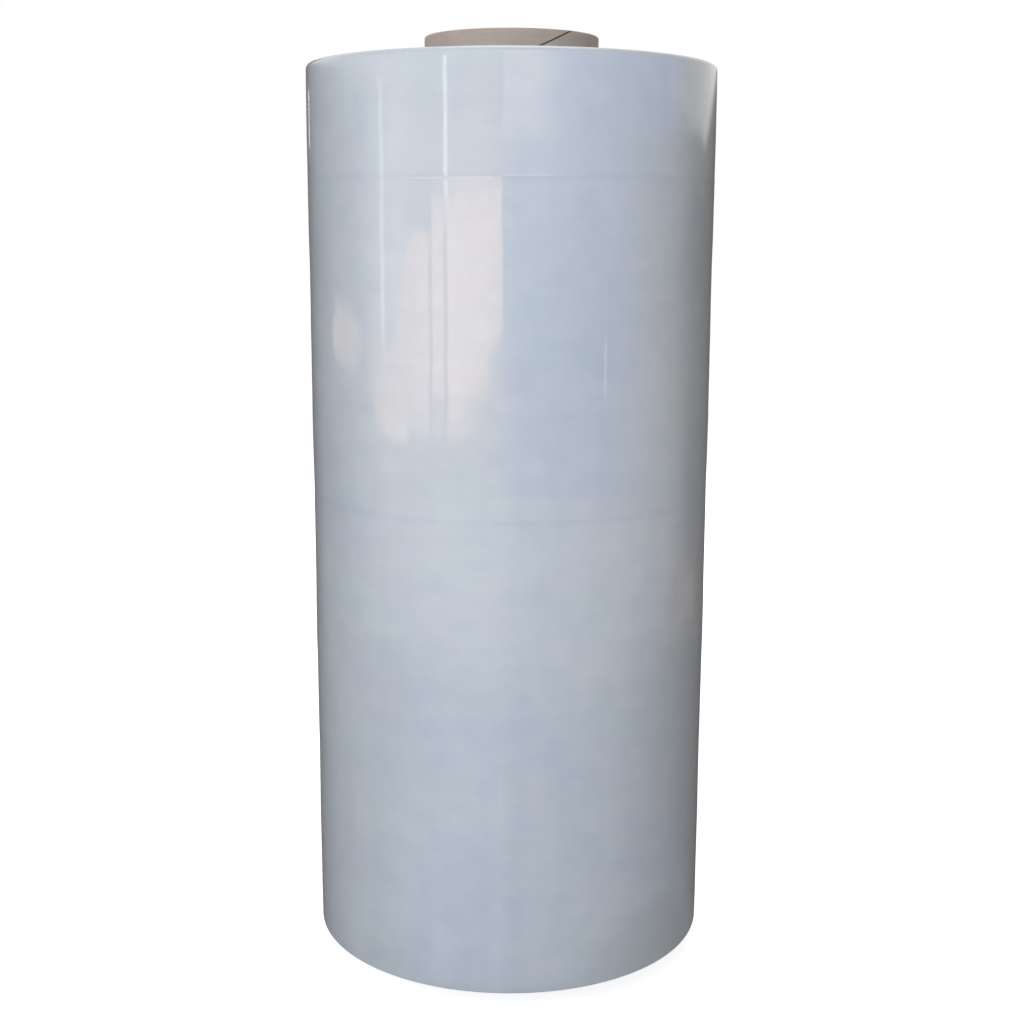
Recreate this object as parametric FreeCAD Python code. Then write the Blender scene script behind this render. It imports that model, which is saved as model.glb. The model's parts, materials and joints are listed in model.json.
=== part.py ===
"""A roll of stretch wrap: plastic film wound tightly on a spiral-wound cardboard core.

The core is longer than the film is wide, so it stands out at both ends and keeps
the film's edges off the floor. The roll stands upright on the core's lower end.
The origin is on the axis, at the core's lower end, and +Z runs along the axis.
All lengths are in millimetres.
"""

import FreeCAD
import Part
import math
import os

# The film, as wound.
film_width = 500.0  # across the web, so along the roll's axis
film_diameter = 228.6
upper_edge_radius = 2.5  # the upper outer corner, where the last turns have pulled in
lower_edge_radius = 0.8  # the lower one, which stays nearly sharp
film_edge_facets = 3  # flats that each rounding is made of

# The core, a tube with the bore of a three-inch mandrel.
core_bore = 76.0
core_wall = 10.5
core_overhang = 16.0  # how far the core stands out of the film, at each end
core_edge_bevel = 0.6  # the cut edges, slightly crushed

# The core's outermost paper ply, a strip laid round the tube edge to edge.
ply_width = 125.0
ply_thickness = 0.55
ply_gap = 0.7  # the open seam between the ply's neighbouring edges
seam_azimuth = -48.6  # degrees from +X, where the seam meets the upper end
seam_run_out = 0.25  # in turns, how far the seam's cutter passes the tube's ends

# The turns of film stray sideways as they are wound. Every turn is as wide as the
# web, so what stands proud at one end of the roll is sunk by as much at the other.
# The stray is a slow wave and a quick one, counted from the core to the outside.
furthest_stray = 0.45
stray_steps = 14
slow_waves = 2.3
quick_waves = 5.7
quick_wave_height = 0.8  # against the slow wave's height
quick_wave_start = 1.1  # radians
true_land = 5.0  # the last turns lie true, over this much inside the outer wall

# Thick lanes along the web, which stack up turn on turn to a faint ring.
lane_heights = (262.0, 437.6)  # above the film's lower edge
lane_width = 2.4
lane_rise = 0.12

core_diameter = core_bore + 2 * core_wall
core_length = film_width + 2 * core_overhang
film_bottom = core_overhang
film_top = film_bottom + film_width

AXIS_START = FreeCAD.Vector(0, 0, 0)
UP = FreeCAD.Vector(0, 0, 1)
FULL_TURN = 360


def section_point(radius, height):
    """A point of a section in the XZ plane, which is turned about Z."""
    return FreeCAD.Vector(radius, 0, height)


def turned_solid(corners):
    """The solid that a closed section makes when it is turned about Z."""
    section = Part.Face(Part.makePolygon(corners + corners[:1]))
    return section.revolve(AXIS_START, UP, FULL_TURN)


def seam_cutter():
    """The helical gap in the outermost ply, as deep as the ply is thick.

    The ply's edges meet side by side, so its width and the core's girth give its climb.
    """
    radius = core_diameter / 2
    girth = math.pi * core_diameter
    climb = math.asin(ply_width / girth)
    pitch = girth * math.tan(climb)
    run_out = seam_run_out * pitch
    no_cone = 0  # the helix lies on a cylinder
    path = Part.makeLongHelix(pitch, core_length + 2 * run_out, radius, no_cone)
    half_gap = ply_gap / 2 / math.cos(climb)
    profile = Part.makePolygon([
        section_point(radius - ply_thickness, -half_gap),
        section_point(radius + ply_thickness, -half_gap),
        section_point(radius + ply_thickness, half_gap),
        section_point(radius - ply_thickness, half_gap),
        section_point(radius - ply_thickness, -half_gap),
    ])
    closed_ends = True
    square_to_path = True
    cutter = Part.Wire(path.Edges).makePipeShell([profile], closed_ends, square_to_path)
    turns_to_upper_end = (core_length + run_out) / pitch
    cutter.translate(FreeCAD.Vector(0, 0, -run_out))
    cutter.rotate(AXIS_START, UP, seam_azimuth - FULL_TURN * turns_to_upper_end)
    return cutter


def core_tube():
    """The cardboard tube, with the open seam of its outermost ply."""
    inner = core_bore / 2
    outer = core_diameter / 2
    bevel = core_edge_bevel
    tube = turned_solid([
        section_point(inner + bevel, 0),
        section_point(outer - bevel, 0),
        section_point(outer, bevel),
        section_point(outer, core_length - bevel),
        section_point(outer - bevel, core_length),
        section_point(inner + bevel, core_length),
        section_point(inner, core_length - bevel),
        section_point(inner, bevel),
    ])
    return tube.cut(seam_cutter())


def stray(step):
    """How far sideways the turns lie at one step outwards from the core."""
    share = 2 * math.pi * step / stray_steps
    slow = math.sin(slow_waves * share)
    quick = quick_wave_height * math.sin(quick_waves * share + quick_wave_start)
    return furthest_stray * (slow + quick) / (1 + quick_wave_height)


def film_end(height, outwards, edge_radius):
    """The section's points along one end of the film, from the core to the outer wall.

    outwards is 1 at the upper end, which looks up, and -1 at the lower end.
    """
    inner = core_diameter / 2
    edge_centre = film_diameter / 2 - edge_radius
    stray_span = film_diameter / 2 - true_land - inner
    points = []
    for step in range(stray_steps + 1):
        radius = inner + stray_span * step / stray_steps
        points.append(section_point(radius, height + stray(step) - stray(stray_steps)))
    for facet in range(film_edge_facets + 1):
        turn = math.pi / 2 * facet / film_edge_facets
        radius = edge_centre + edge_radius * math.sin(turn)
        sunk = edge_radius * (1 - math.cos(turn))
        points.append(section_point(radius, height - outwards * sunk))
    return points


def lane_points(height):
    """The section's points over the low ridge that one thick lane makes."""
    outer = film_diameter / 2
    middle = film_bottom + height
    return [
        section_point(outer, middle - lane_width / 2),
        section_point(outer + lane_rise, middle),
        section_point(outer, middle + lane_width / 2),
    ]


def wound_film():
    """All the turns of film, as one solid."""
    lower_end = film_end(film_bottom, -1, lower_edge_radius)
    upper_end = film_end(film_top, 1, upper_edge_radius)
    lanes = [point for height in sorted(lane_heights) for point in lane_points(height)]
    return turned_solid(lower_end + lanes + upper_end[::-1])


def main():
    """Builds each piece and writes it as one STEP file under its own name."""
    os.makedirs("parts", exist_ok=True)
    pieces = {"cardboard_core": core_tube(), "wound_film": wound_film()}
    for name, shape in pieces.items():
        shape.exportStep(os.path.join("parts", name + ".step"))
        print(name, "solids", len(shape.Solids), "valid", shape.isValid(),
              "volume", round(shape.Volume), "mm3")


main()
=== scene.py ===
# %% [markdown]
# # A roll of stretch wrap
# The roll is two things: a cardboard tube, and a very long plastic film wound on it
# so tightly that its turns stand as one solid. The model that this script loads has
# both at their real size. Here each gets the fine shape and the finish that the eye
# expects, and a plain studio to stand in.

import json
import math

import bmesh
import bpy
import numpy as np
from mathutils import Matrix, Vector


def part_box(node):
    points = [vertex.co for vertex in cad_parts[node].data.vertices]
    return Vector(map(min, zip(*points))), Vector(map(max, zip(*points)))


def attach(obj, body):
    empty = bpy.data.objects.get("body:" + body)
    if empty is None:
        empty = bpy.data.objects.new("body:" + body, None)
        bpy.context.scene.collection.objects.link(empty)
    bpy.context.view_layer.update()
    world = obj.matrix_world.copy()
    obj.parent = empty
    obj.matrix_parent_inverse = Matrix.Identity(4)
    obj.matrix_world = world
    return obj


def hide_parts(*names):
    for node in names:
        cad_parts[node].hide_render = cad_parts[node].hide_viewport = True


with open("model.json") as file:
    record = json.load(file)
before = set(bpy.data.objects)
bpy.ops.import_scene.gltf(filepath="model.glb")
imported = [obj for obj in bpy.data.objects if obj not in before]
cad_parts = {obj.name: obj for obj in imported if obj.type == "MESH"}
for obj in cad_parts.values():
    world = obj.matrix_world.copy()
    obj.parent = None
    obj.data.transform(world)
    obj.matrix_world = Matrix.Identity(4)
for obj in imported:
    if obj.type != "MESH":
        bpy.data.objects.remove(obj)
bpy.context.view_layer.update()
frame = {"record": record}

# %% [markdown]
# ## Sizes
# The model gives the outer sizes. The few that its boxes can't give, such as how far
# the film's edges stray, are written here once, in millimetres made metres. Where one
# stands in the model too, it has the same value and name there.

# %% Sizes of the film and the core
MM = 0.001
TURN = 2 * math.pi

core_low, core_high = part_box("cardboard_core")
film_low, film_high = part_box("wound_film")
core_radius = core_high.x
core_length = core_high.z - core_low.z
film_radius = film_high.x

mounts = {mount["name"]: mount for mount in frame["record"]["mounts"]}
bore_radius = mounts["core_bore"]["dims"]["r_mm"] * MM

core_overhang = 16 * MM
film_bottom = core_low.z + core_overhang
film_top = core_high.z - core_overhang
upper_edge_radius = 2.5 * MM
lower_edge_radius = 0.8 * MM

furthest_stray = 0.45 * MM
stray_steps = 14
slow_waves = 2.3  # how many of them lie between the core and the outside
quick_waves = 5.7
quick_wave_height = 0.8  # against the slow wave's height
quick_wave_start = 1.1  # radians
true_land = 5 * MM  # the last turns lie true, over this much inside the wall

lane_heights = (262 * MM, 437.6 * MM)
lane_width = 2.4 * MM
lane_rises = (0.04 * MM, 0.09 * MM)  # of the low ring and of the high one
lane_azimuth = math.radians(-106)  # where the lanes stand highest

ply_width = 125 * MM
ply_thickness = 0.55 * MM
ply_gap = 0.7 * MM
seam_azimuth = math.radians(-48.6)  # where the seam meets the upper end
for name, radius in (("film", film_radius), ("core", core_radius), ("bore", bore_radius)):
    print(name, "is", round(2 * radius / MM, 1), "mm across")

# %% [markdown]
# ## A surface that closes on itself
# Both pieces are tubes: their section is a closed loop, and the loop is carried once
# round the axis. So a grid of points that wraps round in both directions makes either
# one, with no open edge. Normals are turned outwards at the end, and all faces are
# smooth, because real corners here are small roundings with points of their own.

# %% Make a mesh from a grid of points
def closed_surface(name, points):
    """An object from a grid of points, rows along the section and columns round the axis."""
    rows, columns = points.shape[:2]
    number = np.arange(rows * columns).reshape(rows, columns)
    beside = np.roll(number, -1, axis=1)
    faces = np.stack([number, beside, np.roll(beside, -1, axis=0), np.roll(number, -1, axis=0)], axis=-1)
    mesh = bpy.data.meshes.new(name)
    mesh.from_pydata(points.reshape(-1, 3).tolist(), [], faces.reshape(-1, 4).tolist())
    shaped = bmesh.new()
    shaped.from_mesh(mesh)
    bmesh.ops.recalc_face_normals(shaped, faces=shaped.faces)
    shaped.to_mesh(mesh)
    volume = shaped.calc_volume(signed=True)
    shaped.free()
    mesh.shade_smooth()
    piece = bpy.data.objects.new(name, mesh)
    bpy.context.scene.collection.objects.link(piece)
    print(name, "triangles", 2 * rows * columns, "litres", round(1000 * volume, 3))
    return piece


def round_the_axis(radius, azimuth, height):
    """Points from their radius, azimuth and height, which may be grids of one shape."""
    return np.stack([radius * np.cos(azimuth), radius * np.sin(azimuth), height], axis=-1)


# %% [markdown]
# ## The film's two ends
# Each end of the roll shows the edges of some three thousand turns. The film strays a
# little sideways while it is wound, so the ends are not flat: they have wide, shallow
# steps, which the model has, and on them the fine rings of single turns. The fine
# rings are drawn here as a random walk from turn to turn that is pulled back to zero,
# because that is how a web guide lets an edge wander. A web keeps its width, so what
# stands out at the top is sunk by as much at the bottom.

# %% Stray of the turns
draw = np.random.default_rng(seed=500)
end_rows = 108
fine_stray = 0.07 * MM
pull_back = 0.72  # how much of one ring's stray the next ring keeps


def stray(step):
    """How far sideways the turns lie at one step outwards from the core."""
    share = TURN * step / stray_steps
    slow = np.sin(slow_waves * share)
    quick = quick_wave_height * np.sin(quick_waves * share + quick_wave_start)
    return furthest_stray * (slow + quick) / (1 + quick_wave_height)


edge_centre = film_radius - upper_edge_radius
step_radii = np.linspace(core_radius, film_radius - true_land, stray_steps + 1)
step_strays = stray(np.arange(stray_steps + 1)) - stray(stray_steps)

end_radii = np.linspace(core_radius, edge_centre, end_rows)
walk = np.zeros(end_rows)
for ring in range(1, end_rows):
    walk[ring] = pull_back * walk[ring - 1] + draw.normal()
true_again = np.clip((edge_centre - end_radii) / (0.5 * true_land), 0, 1)
end_strays = np.interp(end_radii, step_radii, step_strays) + fine_stray * walk * true_again
print("stray from", round(1000 * end_strays.min(), 2), "to", round(1000 * end_strays.max(), 2), "mm")

# %% [markdown]
# ## The film's section
# The section runs out along the lower end, round the outer corner, up the wall, round
# the upper corner and back to the core. The upper corner is rounded, because the last
# turns have pulled in there, and the lower one is nearly sharp. The wall gets more rows
# where a thick lane in the web has stacked up to a low ring.

# %% The loop of the film's section
corner_rows = 8
wall_rows = 126
lane_rows = 9

corner = np.linspace(0, math.pi / 2, corner_rows + 1)[1:]
upper_radii = film_radius - upper_edge_radius * (1 - np.sin(corner))
upper_sinks = upper_edge_radius * (1 - np.cos(corner))
lower_radii = film_radius - lower_edge_radius * (1 - np.sin(corner))
lower_sinks = lower_edge_radius * (1 - np.cos(corner))

wall_low = film_bottom + lower_edge_radius
wall_high = film_top - upper_edge_radius
lanes = [film_bottom + height for height in lane_heights]
near_lanes = [np.linspace(lane - 0.6 * lane_width, lane + 0.6 * lane_width, lane_rows) for lane in lanes]
wall_heights = np.linspace(wall_low, wall_high, wall_rows)[1:-1]
clear = np.all([np.abs(wall_heights - lane) > 0.7 * lane_width for lane in lanes], axis=0)
wall_heights = np.sort(np.concatenate([wall_heights[clear], *near_lanes]))

section_radii = np.concatenate([
    end_radii, lower_radii, np.full(len(wall_heights), film_radius), upper_radii[::-1], end_radii[::-1],
])
section_heights = np.concatenate([
    film_bottom + end_strays, film_bottom + lower_sinks, wall_heights,
    film_top - upper_sinks[::-1], film_top + end_strays[::-1],
])
on_wall = np.clip((section_radii - edge_centre) / upper_edge_radius, 0, 1) ** 2
print("rows", len(section_radii), "of them on the wall", len(wall_heights))

# %% [markdown]
# ## The film's wall
# A wound wall is never a true cylinder. The film is a little thicker in some lanes
# than in others, which gives soft bands along the roll, and each turn is pulled a
# little unevenly, which gives long shallow waves round it. Both are hundredths of a
# millimetre, and yet they are what makes the mirrored lights waver, so they are real
# shape here. Whole waves go round the roll, so that the last one meets the first.

# %% Bands and waves of the wall
columns = 256
band_lengths = (131 * MM, 57 * MM, 26 * MM, 11 * MM)
band_height = 0.10 * MM
waves_round = (3, 7, 12, 19, 31)
wave_height = 0.05 * MM
wave_climb = 3.0  # radians that a wave drifts round over a metre of height

azimuths = np.linspace(0, TURN, columns, endpoint=False)
heights = section_heights[:, None]
swell = np.zeros((len(section_heights), columns))
for length in band_lengths:
    share = length / band_lengths[0]
    swell += band_height * share * np.sin(TURN * (heights / length + draw.random()))
for count in waves_round:
    share = waves_round[0] / count
    drift = wave_climb * draw.normal() * heights * count
    swell += wave_height * share * np.sin(count * azimuths + drift + TURN * draw.random())
for lane, rise in zip(lanes, lane_rises):
    off = np.clip(np.abs(heights - lane) / (lane_width / 2), 0, 1)
    strength = 0.25 + 0.75 * np.clip(np.cos(azimuths - lane_azimuth), 0, 1) ** 8
    swell += rise * strength * (1 + np.cos(math.pi * off)) / 2

radii = section_radii[:, None] + on_wall[:, None] * swell
film = closed_surface("film", round_the_axis(radii, azimuths[None, :], heights + 0 * radii))
print("wall swells from", round(1000 * swell.min(), 2), "to", round(1000 * swell.max(), 2), "mm")

# %% [markdown]
# ## The core's section
# A paper tube is sawn square, and the saw crushes its edges a little. On the cut ends
# the plies show as fine rings. The loop runs up the outside, in over the upper end,
# down the bore and out over the lower end.

# %% The loop of the core's section
core_edge_bevel = 0.6 * MM
outside_rows = 266
bore_rows = 60
ring_rows = 26
ply_relief = 0.05 * MM

ring_radii = np.linspace(core_radius - core_edge_bevel, bore_radius + core_edge_bevel, ring_rows)
ring_sinks = ply_relief * np.abs(draw.normal(size=ring_rows))
ring_sinks[[0, -1]] = 0
outside_heights = np.linspace(core_edge_bevel, core_length - core_edge_bevel, outside_rows)
bore_heights = np.linspace(core_length - core_edge_bevel, core_edge_bevel, bore_rows)

core_section_radii = np.concatenate([
    np.full(outside_rows, core_radius), ring_radii, np.full(bore_rows, bore_radius), ring_radii[::-1],
])
core_section_heights = np.concatenate([
    outside_heights, core_length - ring_sinks, bore_heights, ring_sinks[::-1],
]) + core_low.z

# %% [markdown]
# ## The seam of the outermost ply
# The outermost ply is a strip that is laid round the tube on a slant, edge to edge, so
# its seam climbs round as a helix. The grid's columns are twisted to run along that
# helix, and two bunches of them stand close together at the seam: then the narrow gap
# is cut cleanly, which no even grid could do. In the plain bore the columns are eased
# back, by less than half a turn, to where they started.

# %% Twist the columns along the seam and cut it
even_columns = 180
seam_columns = 14
girth = TURN * core_radius
climb = math.asin(ply_width / girth)
pitch = girth * math.tan(climb)
gap_angle = ply_gap / 2 / math.sin(climb) / core_radius
seam_reach = 3 * gap_angle

seam_offsets = np.concatenate([
    np.linspace(-seam_reach, seam_reach, seam_columns),
    np.linspace(seam_reach, TURN - seam_reach, even_columns)[1:-1],
])


def seam_turn(height):
    """The azimuth of the seam at a height."""
    return seam_azimuth - TURN * (core_length - height) / pitch


top_turn = seam_turn(core_length)
bottom_turn = seam_turn(0)
ease_back = (bottom_turn - top_turn + math.pi) % TURN - math.pi
twist = np.concatenate([
    seam_turn(outside_heights), np.full(ring_rows, top_turn),
    np.interp(-bore_heights, [-bore_heights[0], -bore_heights[-1]], [top_turn, top_turn + ease_back]),
    np.full(ring_rows, bottom_turn),
])
gap_depth = ply_thickness * (np.abs(seam_offsets) < gap_angle)
core_radii = np.minimum(core_section_radii[:, None], core_radius - gap_depth[None, :])
core_azimuths = twist[:, None] + seam_offsets[None, :]
core_heights = core_section_heights[:, None] + 0 * core_radii
core = closed_surface("core", round_the_axis(core_radii, core_azimuths, core_heights))
print("pitch", round(1000 * pitch, 1), "mm, climb", round(math.degrees(climb), 1), "degrees")

# %% [markdown]
# ## Writing a finish as a sum
# A finish is a net of shader nodes. The first class wraps one output of a node, and
# Python's operators on it add Math nodes, so a mask can be written as `1 - mask`. The
# second holds the net of a material or of the world, and one method adds any other
# node: its settings come first, such as a Math node's operation, and then the values
# or links of its inputs.

# %% Classes for finishes
NOISE_MIDDLE = 0.5  # what a noise is on average
MIX_SHARE, MIX_FIRST, MIX_SECOND, MIX_COLOUR = 0, 6, 7, 2  # a Mix node's sockets for colours
UV_PLACE, OBJECT_PLACE = 2, 3  # outputs of a Texture Coordinate node


class Flow:
    """One output of a shader node, on which Python's operators work."""

    def __init__(self, finish, socket):
        self.finish = finish
        self.socket = socket

    def __add__(self, other):
        return self.finish.maths("ADD", self, other)

    def __sub__(self, other):
        return self.finish.maths("SUBTRACT", self, other)

    def __rsub__(self, other):
        return self.finish.maths("SUBTRACT", other, self)

    def __mul__(self, other):
        return self.finish.maths("MULTIPLY", self, other)

    def __truediv__(self, other):
        return self.finish.maths("DIVIDE", self, other)

    __radd__ = __add__
    __rmul__ = __mul__

    def swing(self, width):
        """A noise made to swing about 0, over about as much as width."""
        return (self - NOISE_MIDDLE) * width


class Finish:
    """The net of nodes of a material or of the world."""

    def __init__(self, owner):
        owner.use_nodes = True
        self.owner = owner
        self.tree = owner.node_tree
        self.tree.nodes.clear()

    def node(self, kind, settings=None, inputs=None, output=0):
        """Adds a node and gives one of its outputs."""
        added = self.tree.nodes.new(kind)
        for name, value in (settings or {}).items():
            setattr(added, name, value)
        for name, value in (inputs or {}).items():
            socket = added.inputs[name]
            if isinstance(value, Flow):
                self.tree.links.new(value.socket, socket)
            else:
                socket.default_value = value
        return Flow(self, added.outputs[output])

    def maths(self, operation, *values):
        """A Math node on values or flows."""
        return self.node("ShaderNodeMath", {"operation": operation}, dict(enumerate(values)))

    def vector_maths(self, operation, first, second):
        """A Vector Math node on vectors or flows."""
        return self.node("ShaderNodeVectorMath", {"operation": operation}, {0: first, 1: second})

    def place(self):
        """Where a point of the piece is, in metres."""
        return self.node("ShaderNodeTexCoord", output=OBJECT_PLACE)

    def parts(self, vector):
        """The x, y and z of a vector."""
        return [self.node("ShaderNodeSeparateXYZ", None, {0: vector}, output=axis) for axis in range(3)]

    def along_x(self, distance):
        """A place that moves with a distance alone, so that a noise there makes bands."""
        return self.node("ShaderNodeCombineXYZ", None, {"X": distance})

    def blend(self, share, first, second, how="MIX"):
        """The colour that is first where share is 0 and second, or both mixed, where it is 1."""
        settings = {"data_type": "RGBA", "blend_type": how}
        inputs = {MIX_SHARE: share, MIX_FIRST: first, MIX_SECOND: second}
        return self.node("ShaderNodeMix", settings, inputs, output=MIX_COLOUR)

    def noise(self, place, size, stretch=(1, 1, 1), detail=3, roughness=0.5):
        """Cloudy noise between about 0 and 1, with clouds of one size, longer where stretch is more."""
        squeezed = self.vector_maths("DIVIDE", place, stretch)
        values = {"Vector": squeezed, "Scale": 1 / size, "Detail": detail, "Roughness": roughness}
        return self.node("ShaderNodeTexNoise", None, values)

    def soft_step(self, value, start, end):
        """0 below start, 1 above end, and smooth between."""
        settings = {"interpolation_type": "SMOOTHSTEP"}
        return self.node("ShaderNodeMapRange", settings, {0: value, 1: start, 2: end})

    def bump(self, strength, distance, height):
        """A fine relief for a shader's normal."""
        values = {"Strength": strength, "Distance": distance, "Height": height}
        return self.node("ShaderNodeBump", None, values)

    def output(self, surface, kind="ShaderNodeOutputMaterial"):
        """Makes a shader the surface, and gives the material or world."""
        out = self.tree.nodes.new(kind)
        self.tree.links.new(surface.socket, out.inputs["Surface"])
        return self.owner


def new_finish(name):
    """The empty net of a new material."""
    return Finish(bpy.data.materials.new(name))


def colour(red, green, blue):
    """A colour with full cover."""
    return (red, green, blue, 1)


# %% [markdown]
# ## The film's finish on the wall
# One turn of this film is clear. Thousands of them, with a trace of air between, look
# milky and a little blue. The milk is cloudy in large soft patches, where more or
# less air is trapped, and streaked along the web, which here means round the roll.
# Along the thick lanes the colour is a little darker. That is painted shade, for the
# dark line beside each low ring. A clear coat on top makes the sharp mirror of the
# outermost turn, and the base under it keeps a wider sheen.

# %% Film wall
# painted shade: the film's colour is darkened a little along each thick lane's low ring
painted_lane_shade = 0.16
painted_lane_shade_reach = 3.5 * MM

wall_finish = new_finish("stretch_film_wall")
place = wall_finish.place()
z = wall_finish.parts(place)[2]

clouds = wall_finish.noise(place, 60 * MM, stretch=(1.4, 1.4, 1), detail=3)
patches = wall_finish.noise(place, 13 * MM, stretch=(1.2, 1.2, 1), detail=4, roughness=0.6)
web_bands = wall_finish.noise(place, 13 * MM, stretch=(40, 40, 1), detail=4, roughness=0.6)
streaks = wall_finish.noise(place, 3 * MM, stretch=(60, 60, 1), detail=4)
threads = wall_finish.noise(place, 0.8 * MM, stretch=(90, 90, 1), detail=2)
bars = wall_finish.noise(place, 16 * MM, stretch=(1, 1, 12), detail=2)

air = clouds.swing(0.9) + patches.swing(1.0) + web_bands.swing(0.4)
grain_and_lane_shade = streaks.swing(0.16) + threads.swing(0.06) + bars.swing(0.5)
# painted shade: the milk is darkened near each lane
for lane in lanes:
    off_lane = wall_finish.soft_step(wall_finish.maths("ABSOLUTE", z - lane), 0, painted_lane_shade_reach)
    grain_and_lane_shade = grain_and_lane_shade - (1 - off_lane) * painted_lane_shade
film_deep = colour(0.498, 0.558, 0.658)
film_milky = colour(0.612, 0.655, 0.718)
milk = wall_finish.blend(0.5 + air + grain_and_lane_shade, film_deep, film_milky)

tint_shift = (3.0, 1.0, 2.0)  # so that the tints don't follow the clouds
faint_mauve = colour(1.010, 0.997, 1.004)
faint_green = colour(0.990, 1.005, 0.998)
tint_place = wall_finish.vector_maths("ADD", place, tint_shift)
tints = wall_finish.noise(tint_place, 30 * MM, stretch=(1.2, 1.2, 1), detail=3)
tint = wall_finish.blend(wall_finish.soft_step(tints, 0.35, 0.65), faint_mauve, faint_green)
milk = wall_finish.blend(1.0, milk, tint, how="MULTIPLY")

dull = 0.30 + patches.swing(0.10)
relief = streaks * 0.5 + threads * 0.15 + patches
bump = wall_finish.bump(0.25, 0.05 * MM, relief)
wall_shader = wall_finish.node("ShaderNodeBsdfPrincipled", None, {
    "Base Color": milk, "Roughness": dull, "IOR": 1.5, "Normal": bump,
    "Coat Weight": 1.0, "Coat Roughness": 0.04, "Coat IOR": 1.5,
})
wall_material = wall_finish.output(wall_shader)

# %% [markdown]
# ## The film's finish on the ends
# On the ends one looks into the edges of the turns, which guide light inwards, so the
# ends are deeper in colour and a little duller. They carry rings, which are noise of
# the distance from the axis alone.

# %% Film ends
end_finish = new_finish("stretch_film_end")
place = end_finish.place()
x, y, z = end_finish.parts(place)
ring_place = end_finish.along_x(end_finish.maths("SQRT", x * x + y * y))
rings = end_finish.noise(ring_place, 1.6 * MM, detail=5, roughness=0.65)
wide_rings = end_finish.noise(ring_place, 9 * MM, detail=2)
clouds = end_finish.noise(place, 30 * MM, detail=3)

tone = 0.5 + rings.swing(0.9) + wide_rings.swing(0.8) + clouds.swing(0.4)
end_deep = colour(0.340, 0.405, 0.480)
end_pale = colour(0.560, 0.620, 0.690)
milk = end_finish.blend(tone, end_deep, end_pale)
bump = end_finish.bump(0.5, 0.12 * MM, rings)
end_shader = end_finish.node("ShaderNodeBsdfPrincipled", None, {
    "Base Color": milk, "Roughness": 0.32 + rings.swing(0.2), "IOR": 1.5, "Normal": bump,
    "Coat Weight": 0.3, "Coat Roughness": 0.15,
})
end_material = end_finish.output(end_shader)

film.data.materials.append(wall_material)
film.data.materials.append(end_material)
face_rows = np.arange(len(section_radii))
is_wall = (face_rows >= end_rows) & (face_rows < len(section_radii) - end_rows - 1)
film.data.polygons.foreach_set("material_index", np.repeat(np.where(is_wall, 0, 1), columns))

# %% [markdown]
# ## The core's finish
# Core board is made of waste paper. It is grey-brown and matt, with paler and darker
# fibres that lie along the strip, so they slant as the seam does. The seam is a shadow
# between two edges, and that shadow is painted into the board as a near-black line.
# On the cut ends the plies and the glue between them show as dark and pale rings.

# %% Core board
board_finish = new_finish("core_board")
place = board_finish.place()
x, y, z = board_finish.parts(place)
azimuth = board_finish.maths("ARCTAN2", y, x)
from_axis = board_finish.maths("SQRT", x * x + y * y)
climbing = z - azimuth * (pitch / TURN)
slant_place = board_finish.node("ShaderNodeCombineXYZ", None, {"X": x * 0.3, "Y": y * 0.3, "Z": z})
fibres = board_finish.noise(slant_place, 0.9 * MM, stretch=(6, 6, 1), detail=4, roughness=0.6)
mottle = board_finish.noise(place, 9 * MM, stretch=(1.5, 1.5, 1), detail=4)
stains = board_finish.noise(place, 28 * MM, detail=2)
plies = board_finish.noise(board_finish.along_x(from_axis), 0.9 * MM, detail=2)

turns_past_seam = (climbing - (core_length - seam_azimuth * pitch / TURN)) / pitch
seam_share = board_finish.maths("FRACT", turns_past_seam + 0.5) - 0.5
seam_distance = board_finish.maths("ABSOLUTE", seam_share) * (pitch * math.cos(climb))
off_seam = board_finish.soft_step(seam_distance, ply_gap * 0.4, ply_gap * 0.9)
outside = board_finish.soft_step(from_axis, core_radius - 1.2 * MM, core_radius - 0.9 * MM)

tone = 0.5 + fibres.swing(0.6) + mottle.swing(0.7) + stains.swing(0.6)
board_dark = colour(0.375, 0.312, 0.278)
board_pale = colour(0.565, 0.492, 0.448)
board = board_finish.blend(tone, board_dark, board_pale)
# painted shadow: the seam's groove is darkened almost to black in the board's colour
painted_seam_shadow = colour(0.075, 0.050, 0.040)
glue_colour = colour(0.150, 0.112, 0.090)
in_seam_shadow = (1 - off_seam) * outside
board = board_finish.blend(in_seam_shadow * 0.8, board, painted_seam_shadow)
off_glue = board_finish.soft_step(plies, 0.36, 0.48)
board = board_finish.blend((1 - outside) * (1 - off_glue) * 0.45, board, glue_colour)
relief = fibres * 0.7 + mottle * 0.5
bump = board_finish.bump(0.6, 0.12 * MM, relief)
board_shader = board_finish.node("ShaderNodeBsdfPrincipled", None, {
    "Base Color": board, "Roughness": 0.78 + mottle.swing(0.2), "Normal": bump,
    "Specular IOR Level": 0.35,
})
core.data.materials.append(board_finish.output(board_shader))

# %% [markdown]
# ## Tie the looks to the model
# Each dressed piece stands for its solid and rides on the one body there is.

# %% Replace the plain solids
for piece, node, slot in ((film, "wound_film", "stretch_film"), (core, "cardboard_core", "core_board")):
    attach(piece, "root")
    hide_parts(node)

# %% [markdown]
# ## The studio
# The floor is pale and matt. It takes a soft shadow, and seen directly or in a gloss
# it is filled up towards white, so that floor and background are one. The world does
# the same: it lights the roll gently with a warm tint, and shows itself as white.

# %% Floor and world
seen_rays = ("Is Camera Ray", "Is Glossy Ray", "Is Transmission Ray")


def is_seen(finish):
    """1 where a ray of light comes straight from the camera, a gloss or a clear thing."""
    camera_ray, gloss_ray, clear_ray = [finish.node("ShaderNodeLightPath", output=name) for name in seen_rays]
    return finish.maths("MINIMUM", camera_ray + gloss_ray + clear_ray, 1)


floor_size = 40
floor_colour = colour(0.62, 0.66, 0.72)
floor_fill = 0.83

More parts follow.
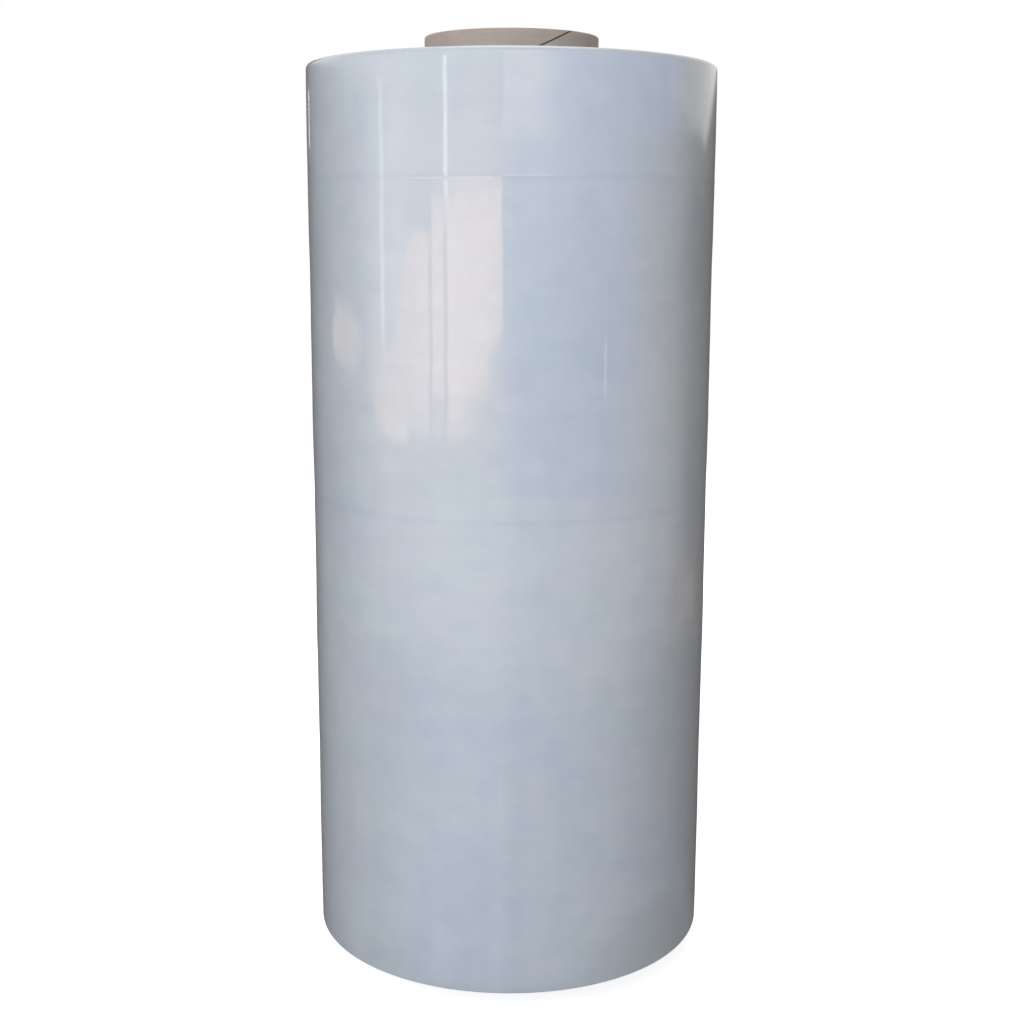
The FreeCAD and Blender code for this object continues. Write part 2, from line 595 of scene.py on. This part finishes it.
floor_finish = new_finish("studio_floor")
matt = floor_finish.node("ShaderNodeBsdfDiffuse", None, {"Color": floor_colour})
fill = floor_finish.node("ShaderNodeEmission", None, {"Strength": is_seen(floor_finish) * floor_fill})
floor_material = floor_finish.output(floor_finish.node("ShaderNodeAddShader", None, {0: matt, 1: fill}))

bpy.ops.mesh.primitive_plane_add(size=floor_size, location=(0, 0, core_low.z))
floor = bpy.context.object
floor.name = "floor"
floor.data.materials.append(floor_material)

world_light = colour(1.0, 0.88, 0.72)
world_strength = 0.37
world = bpy.data.worlds.new("studio_world")
bpy.context.scene.world = world
world_finish = Finish(world)
lit = world_finish.node("ShaderNodeBackground", None, {"Color": world_light, "Strength": world_strength})
white = world_finish.node("ShaderNodeBackground", None, {"Color": colour(1, 1, 1), "Strength": 1.0})
sky = world_finish.node("ShaderNodeMixShader", None, {0: is_seen(world_finish), 1: lit, 2: white})
world_finish.output(sky, "ShaderNodeOutputWorld")

# %% [markdown]
# ## Lamps
# One broad key lamp stands at the front left and above the roll. A weak one overhead
# and one behind, which the front never sees, keep the other sides readable as well.

# %% Lamps
roll_middle = Vector((0, 0, core_length / 2))


def on_circle(azimuth_degrees, distance, height):
    """A point at an azimuth and a distance from the roll's axis."""
    turn = math.radians(azimuth_degrees)
    return Vector((distance * math.cos(turn), distance * math.sin(turn), height))


def lamp(name, spot, width, height, power, tint):
    """A soft rectangular lamp that points at the middle of the roll."""
    light = bpy.data.lights.new(name, "AREA")
    light.shape = "RECTANGLE"
    light.size = width
    light.size_y = height
    light.energy = power
    light.color = tint
    holder = bpy.data.objects.new(name, light)
    holder.location = spot
    holder.rotation_euler = (roll_middle - spot).to_track_quat("-Z", "Y").to_euler()
    holder.visible_glossy = False
    bpy.context.scene.collection.objects.link(holder)


lamp("key_lamp", on_circle(-112, 1.6, 1.0), 0.9, 0.9, 15.8, (0.89, 0.95, 1.0))
lamp("top_lamp", Vector((0, 0.2, 2.2)), 1.4, 1.4, 5, (1.0, 0.98, 0.95))
lamp("back_lamp", on_circle(90, 1.7, 0.9), 1.0, 1.0, 15, (0.97, 0.99, 1.0))

# %% [markdown]
# ## Reflectors
# What the outermost turn mirrors is what makes it read as plastic film. Pale cards
# stand in for windows, and dark ones keep the sides of the roll from mirroring the
# white room. They are seen in a gloss only. A card is a curved strip on a circle
# round the roll, given by stations: an azimuth, a lower and an upper height. A mat is
# the same thing lying on the floor. Their edges fade, with a soft step that a noise
# makes uneven, because out-of-focus windows and trees have no straight edges.

# %% Reflector from a grid of points
NO_FADE = 0.001  # a share so small that the edge is sharp
uneven_size = 0.12  # of the noise at the edges, as a share of the reflector


def reflector(name, points, tint, strength, soft, ragged):
    """A strip seen only in a gloss.

    soft is the share of it that fades at its start, end, foot and head, and ragged is
    how far the noise moves those edges, as a share too.
    """
    rows, columns = points.shape[:2]
    mesh = bpy.data.meshes.new(name)
    number = np.arange(rows * columns).reshape(rows, columns)
    corners = np.stack([number[:-1, :-1], number[:-1, 1:], number[1:, 1:], number[1:, :-1]], axis=-1)
    mesh.from_pydata(points.reshape(-1, 3).tolist(), [], corners.reshape(-1, 4).tolist())
    layer = mesh.uv_layers.new(name="share")
    for loop in mesh.loops:
        row, column = divmod(loop.vertex_index, columns)
        layer.data[loop.index].uv = (column / (columns - 1), row / (rows - 1))

    finish = new_finish(name)
    share = finish.node("ShaderNodeTexCoord", output=UV_PLACE)
    across, up = finish.parts(share)[:2]
    uneven = finish.noise(share, uneven_size).swing(ragged)
    mask = 1
    for side, fade in zip((across, 1 - across, up, 1 - up), soft):
        mask = finish.soft_step(side + uneven, 0, fade) * mask
    clear = finish.node("ShaderNodeBsdfTransparent")
    glow = finish.node("ShaderNodeEmission", None, {"Color": colour(*tint), "Strength": strength})
    faded = finish.node("ShaderNodeMixShader", None, {0: mask, 1: clear, 2: glow})
    mesh.materials.append(finish.output(faded))

    holder = bpy.data.objects.new(name, mesh)
    bpy.context.scene.collection.objects.link(holder)
    holder.visible_camera = False
    holder.visible_diffuse = False
    holder.visible_transmission = False
    holder.visible_shadow = False
    holder.visible_volume_scatter = False


def card(name, stations, tint, strength, soft, ragged=0.0, distance=1.5):
    """An upright curved reflector through stations of azimuth, lower and upper height."""
    share = np.linspace(0, 1, 25)
    knots = np.linspace(0, 1, len(stations))
    turn, low, high = [np.interp(share, knots, values) for values in zip(*stations)]
    height = low + (high - low) * np.linspace(0, 1, 9)[:, None]
    points = round_the_axis(distance, np.radians(turn)[None, :] + 0 * height, height)
    reflector(name, points, tint, strength, soft, ragged)


def mat(name, start, end, near, far, tint, strength, soft, ragged=0.0, lift=1 * MM):
    """A reflector that lies flat over the floor, between two azimuths and two distances."""
    turn = np.radians(np.linspace(start, end, 49))[None, :]
    out = np.linspace(near, far, 9)[:, None]
    points = round_the_axis(out + 0 * turn, turn + 0 * out, core_low.z + lift + 0 * (out + turn))
    reflector(name, points, tint, strength, soft, ragged)


# %% [markdown]
# ## What the roll mirrors in front
# A window of three panes with dark bars between them, the sky beside and above it, and
# a few bright strips where light comes past its frame. Whatever stands nearer hides
# what is behind, so the sky is furthest out.

# %% Sky
warm = (0.98, 0.71, 0.53)
pale = (1.0, 0.98, 0.96)
blue = (0.56, 0.67, 1.0)

card("bright_left", [(-200, 0.05, 0.98), (-125, 0.05, 0.98)], pale, 2.35,
     soft=(0.5, 0.45, 0.3, 0.45), distance=1.65)
card("sky_top", [(-94.4, 0.49, 1.1), (-58, 0.49, 1.1)], pale, 2.3,
     soft=(0.01, 0.6, 0.2, 0.2), distance=1.7)
card("sky_top_right", [(-94.4, 0.49, 1.1), (24, 0.49, 1.1)], blue, 1.8,
     soft=(0.01, 0.2, 0.2, 0.2), distance=1.75)
card("sky_right", [(-94.4, -0.1, 0.62), (0, -0.1, 0.62)], blue, 1.35,
     soft=(0.01, 0.35, NO_FADE, 0.25), ragged=0.04, distance=1.6)
mat("skylight", 0, 360, 0.02, 0.9, pale, 3.0, soft=(NO_FADE, NO_FADE, NO_FADE, 0.6), lift=2.0)

# %% Window
card("window_right",
     [(-124.4, 0.10, 0.52), (-119.5, 0.08, 0.52), (-103.4, 0.165, 0.52), (-93.8, 0.275, 0.52)],
     warm, 4.5, soft=(0.08, 0.04, 0.28, 0.20), ragged=0.18)
card("window_middle", [(-132.4, 0.14, 0.49), (-125.5, 0.14, 0.49)],
     warm, 3.9, soft=(0.08, 0.08, 0.25, 0.15), ragged=0.05)
card("window_left",
     [(-156, 0.18, 0.27), (-151, 0.15, 0.34), (-145, 0.125, 0.40), (-142, 0.115, 0.42), (-133.4, 0.11, 0.42)],
     warm, 4.0, soft=(0.12, 0.05, 0.30, 0.10), ragged=0.12)
card("window_far", [(-176, 0.20, 0.29), (-166, 0.13, 0.30), (-156, 0.09, 0.28), (-144, 0.09, 0.22)],
     warm, 4.4, soft=(0.12, 0.15, 0.25, 0.20), ragged=0.20, distance=1.54)
card("window_edge", [(-204, 0.300, 0.345), (-197, 0.290, 0.368), (-182, 0.283, 0.362), (-171, 0.30, 0.342)],
     warm, 1.4, soft=(0.20, 0.30, 0.30, 0.25), ragged=0.20, distance=0.74)
card("patch_right", [(-4, 0.0, 0.05), (20, 0.02, 0.12), (46, 0.03, 0.08)],
     warm, 0.40, soft=(0.3, 0.3, 0.3, 0.4), ragged=0.20, distance=0.74)

# %% Strips
card("strip_left", [(-164.1, 0.22, 0.64), (-160.1, 0.22, 0.64)], pale, 5.2,
     soft=(0.3, 0.3, 0.2, 0.05), distance=1.45)
card("strip_middle", [(-126.0, 0.40, 0.74), (-123.0, 0.40, 0.74)], pale, 5.0,
     soft=(0.3, 0.3, 0.3, 0.05), distance=1.45)
card("strip_edge", [(123.6, 0.497, 0.560), (126.4, 0.497, 0.560)], pale, 1.3,
     soft=(0.1, 0.1, 0.1, 0.1), ragged=0.6, distance=0.70)
card("strip_right", [(-38.8, 0.18, 0.29), (-37.0, 0.18, 0.29)], pale, 3.0,
     soft=(0.3, 0.3, 0.2, 0.2))

# %% [markdown]
# ## What the roll mirrors at its sides and foot
# Dark walls stand close at the sides and behind, and run down past the floor, so that
# the outline of the roll is dark against the white room. The floor is mirrored near
# the foot: darker mats lie on it, each a little over the next, and the topmost is a
# painted shadow, a dark mat for the shadow that the roll itself throws round its foot.

# %% Dark surround
umber = (1.0, 0.97, 0.95)
slate = (0.50, 0.63, 0.95)

card("surround_right",
     [(-30, -0.1, 0.585), (10, -0.1, 0.56), (38, -0.1, 0.53), (75, -0.1, 0.66), (135, -0.1, 0.90)],
     umber, 0.12, soft=(0.42, 0.01, NO_FADE, 0.08), ragged=0.10, distance=0.76)
card("surround_left", [(105, -0.1, 0.90), (130, -0.1, 0.64), (180, -0.1, 0.60), (235, -0.1, 0.60)],
     umber, 0.15, soft=(0.10, 0.45, NO_FADE, 0.06), ragged=0.08, distance=0.78)

# %% Floor near the roll
mat("mat_left_front", -200, -94, 0.02, 1.5, slate, 0.92,
    soft=(0.05, 0.01, NO_FADE, 0.90), ragged=0.05, lift=1 * MM)
mat("mat_right_front", -94, 20, 0.02, 1.5, slate, 0.72,
    soft=(0.01, 0.05, NO_FADE, 0.85), ragged=0.05, lift=1 * MM)
mat("shade_left", -155, -120, 0.125, 0.205, slate, 0.02,
    soft=(0.25, 0.3, 0.2, 0.35), ragged=0.15, lift=2 * MM)
mat("mat_right", -60, 135, 0.02, 0.90, umber, 0.10,
    soft=(0.40, 0.01, NO_FADE, 0.01), ragged=0.10, lift=3 * MM)
mat("mat_left", 105, 250, 0.02, 0.90, umber, 0.13,
    soft=(0.10, 0.40, NO_FADE, 0.01), ragged=0.10, lift=4 * MM)
mat("shade_right", -68, 0, 0.118, 0.215, slate, 0.02,
    soft=(0.25, 0.2, 0.15, 0.3), ragged=0.15, lift=4 * MM)
# painted shadow: a dark mat that stands for the roll's shadow round its foot
mat("painted_foot_shadow", -190, 10, 0.02, 0.158, umber, 0.15,
    soft=(0.05, 0.05, NO_FADE, 0.30), ragged=0.02, lift=6 * MM)

# %% [markdown]
# ## The camera
# The camera stands level with the upper part of the roll and looks a little down, so
# the roll tapers towards its foot. Its values were measured on the photograph's
# outline, in an image of 1024 by 1024 points.

# %% Camera
image_size = 1024
focal_points = 1533.6
centre_across = 510.0
centre_down = 519.1
camera_pitch = 0.1905
camera_roll = 0.0034
camera_place = Vector((0, -0.8905, 0.4307))
sensor_width = 36

camera_data = bpy.data.cameras.new("camera")
camera_data.sensor_width = sensor_width
camera_data.lens = focal_points / image_size * sensor_width
camera_data.shift_x = (image_size / 2 - centre_across) / image_size
camera_data.shift_y = (centre_down - image_size / 2) / image_size
camera = bpy.data.objects.new("camera", camera_data)
bpy.context.scene.collection.objects.link(camera)
look = Matrix.Rotation(math.pi / 2 - camera_pitch, 4, "X") @ Matrix.Rotation(camera_roll, 4, "Z")
camera.matrix_world = Matrix.Translation(camera_place) @ look
bpy.context.scene.camera = camera
bpy.context.scene.view_settings.view_transform = "Standard"
print("lens", round(camera_data.lens, 2), "mm")
